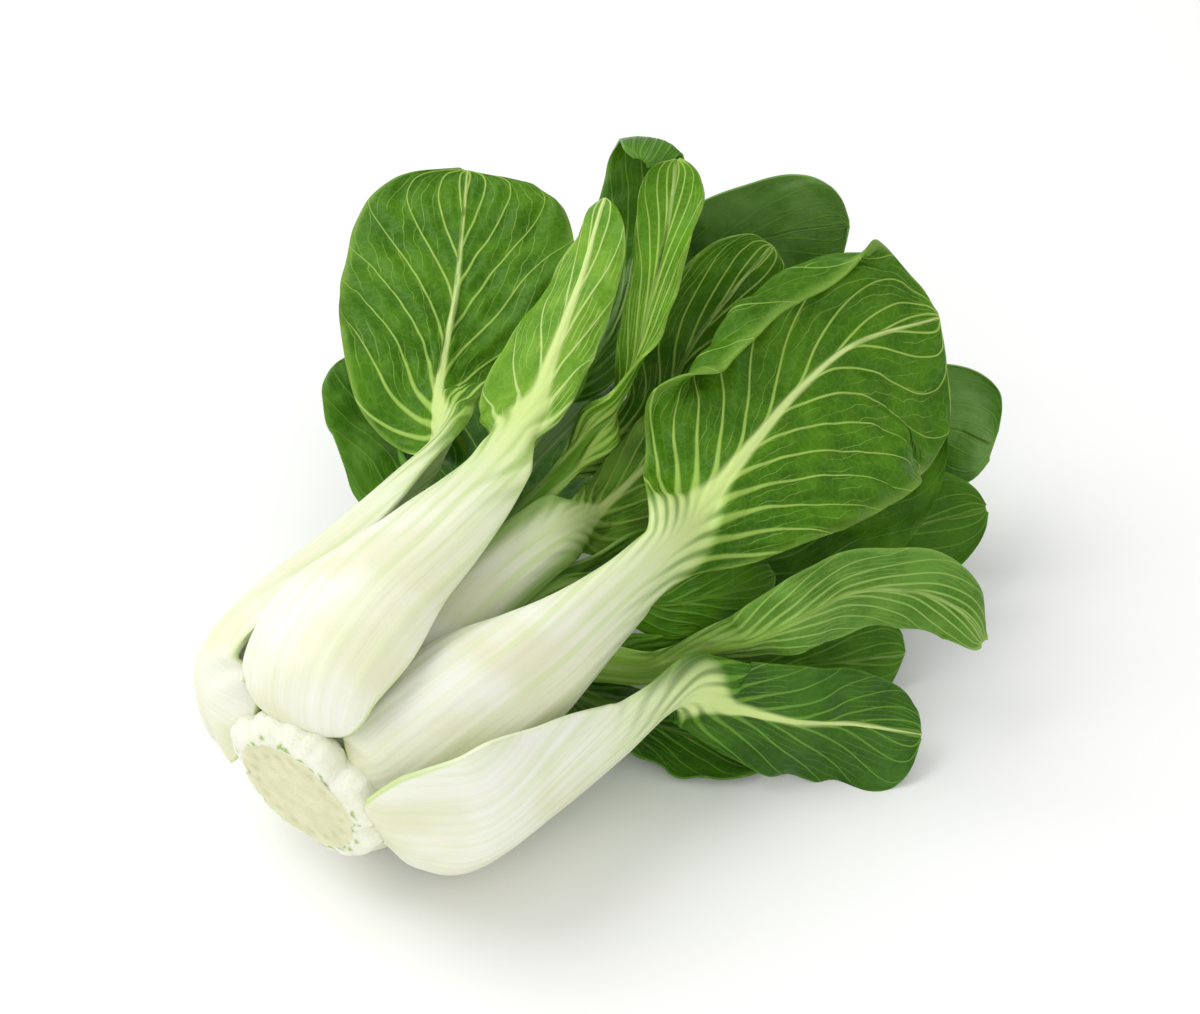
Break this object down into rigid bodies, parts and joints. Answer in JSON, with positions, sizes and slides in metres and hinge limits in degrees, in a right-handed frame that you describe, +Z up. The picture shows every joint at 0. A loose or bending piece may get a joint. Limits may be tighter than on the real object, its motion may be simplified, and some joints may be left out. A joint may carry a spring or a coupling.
{
  "type": "bok choy",
  "caption": "Whole head of bok choy lying on its side: a round cut stem base and spoon-shaped leaves with thick pale stalks and veined green blades.",
  "frame": {"origin": "middle of the footprint, on the surface the head lies on", "axes": "+X from the cut stem base toward the leaf tips, +Z up, the head's own axis rising 9 degrees above +X"},
  "size_m": [0.2023, 0.186, 0.1059],
  "materials": {
    "stem": "matte",
    "leaf_top": "satin",
    "leaf_right": "satin",
    "leaf_floor": "satin",
    "leaf_left": "satin",
    "leaf_back": "satin",
    "leaf_under": "satin",
    "leaf_mid_right": "satin",
    "leaf_front": "satin",
    "leaf_low_right": "satin",
    "leaf_rest": "satin",
    "leaf_far": "satin",
    "leaf_high": "satin",
    "leaf_low": "satin",
    "leaf_heart": "satin",
    "leaf_behind": "satin",
    "leaf_round": "satin",
    "leaf_drooping": "satin",
    "leaf_small": "satin"
  },
  "bodies": {
    "root": {"stem_base": "stem", "leaf_top": "leaf_top", "leaf_right": "leaf_right", "leaf_floor": "leaf_floor", "leaf_left": "leaf_left", "leaf_back": "leaf_back", "leaf_under": "leaf_under", "leaf_mid_right": "leaf_mid_right", "leaf_front": "leaf_front", "leaf_low_right": "leaf_low_right", "leaf_rest": "leaf_rest", "leaf_far": "leaf_far", "leaf_high": "leaf_high", "leaf_low": "leaf_low", "leaf_heart": "leaf_heart", "leaf_behind": "leaf_behind", "leaf_round": "leaf_round", "leaf_drooping": "leaf_drooping", "leaf_small": "leaf_small"}
  },
  "joints": []
}
